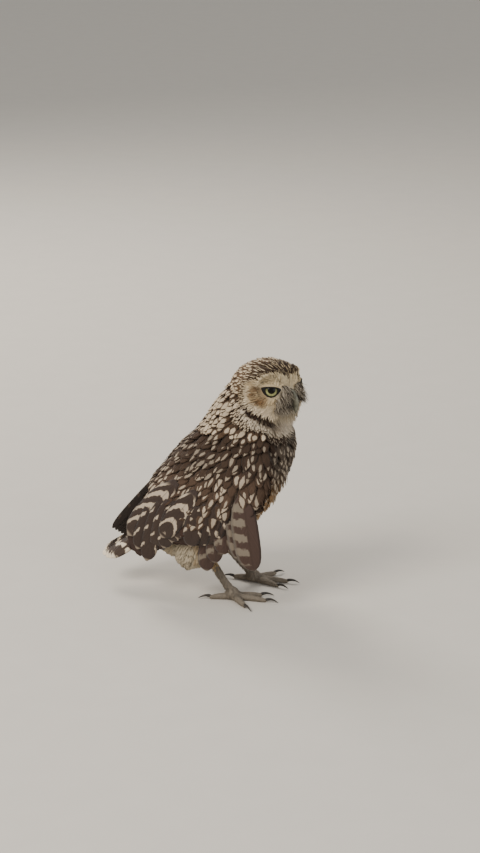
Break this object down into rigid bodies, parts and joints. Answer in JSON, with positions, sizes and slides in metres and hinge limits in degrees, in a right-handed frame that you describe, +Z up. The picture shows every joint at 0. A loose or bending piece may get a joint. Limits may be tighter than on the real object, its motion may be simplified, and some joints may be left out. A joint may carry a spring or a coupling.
{
  "type": "burrowing owl",
  "caption": "Still life-size burrowing owl standing with its head turned to its right and the tip of its right wing let down.",
  "frame": {"origin": "on the floor, under the middle of the model's box", "axes": "+X is the way the body faces, +Y its left side, +Z up"},
  "size_m": [0.1754, 0.0996, 0.205],
  "materials": {
    "plumage": "brown feathers with cream spots",
    "flight_feather": "smooth brown vanes with cream bars",
    "down": "soft buff down",
    "leg_skin": "dry scaled skin with short bristles",
    "horn": "satin horn",
    "eye": "wet gloss"
  },
  "bodies": {
    "root": {"bill": "horn", "claw_left_inner": "horn", "claw_left_middle": "horn", "claw_left_outer": "horn", "claw_left_rear": "horn", "claw_right_inner": "horn", "claw_right_middle": "horn", "claw_right_outer": "horn", "claw_right_rear": "horn", "eye_left": "eye", "eye_right": "eye", "foot_left": "leg_skin", "foot_right": "leg_skin", "head": "plumage", "neck": "plumage", "primary_right_1": "flight_feather", "primary_right_2": "flight_feather", "primary_right_3": "flight_feather", "primary_right_4": "flight_feather", "primary_right_5": "flight_feather", "primary_right_6": "flight_feather", "primary_right_7": "flight_feather", "shank_left": "leg_skin", "shank_right": "leg_skin", "tail": "flight_feather", "thigh_left": "down", "thigh_right": "down", "trunk": "plumage", "wing_left": "plumage", "wing_right": "plumage"}
  },
  "joints": []
}
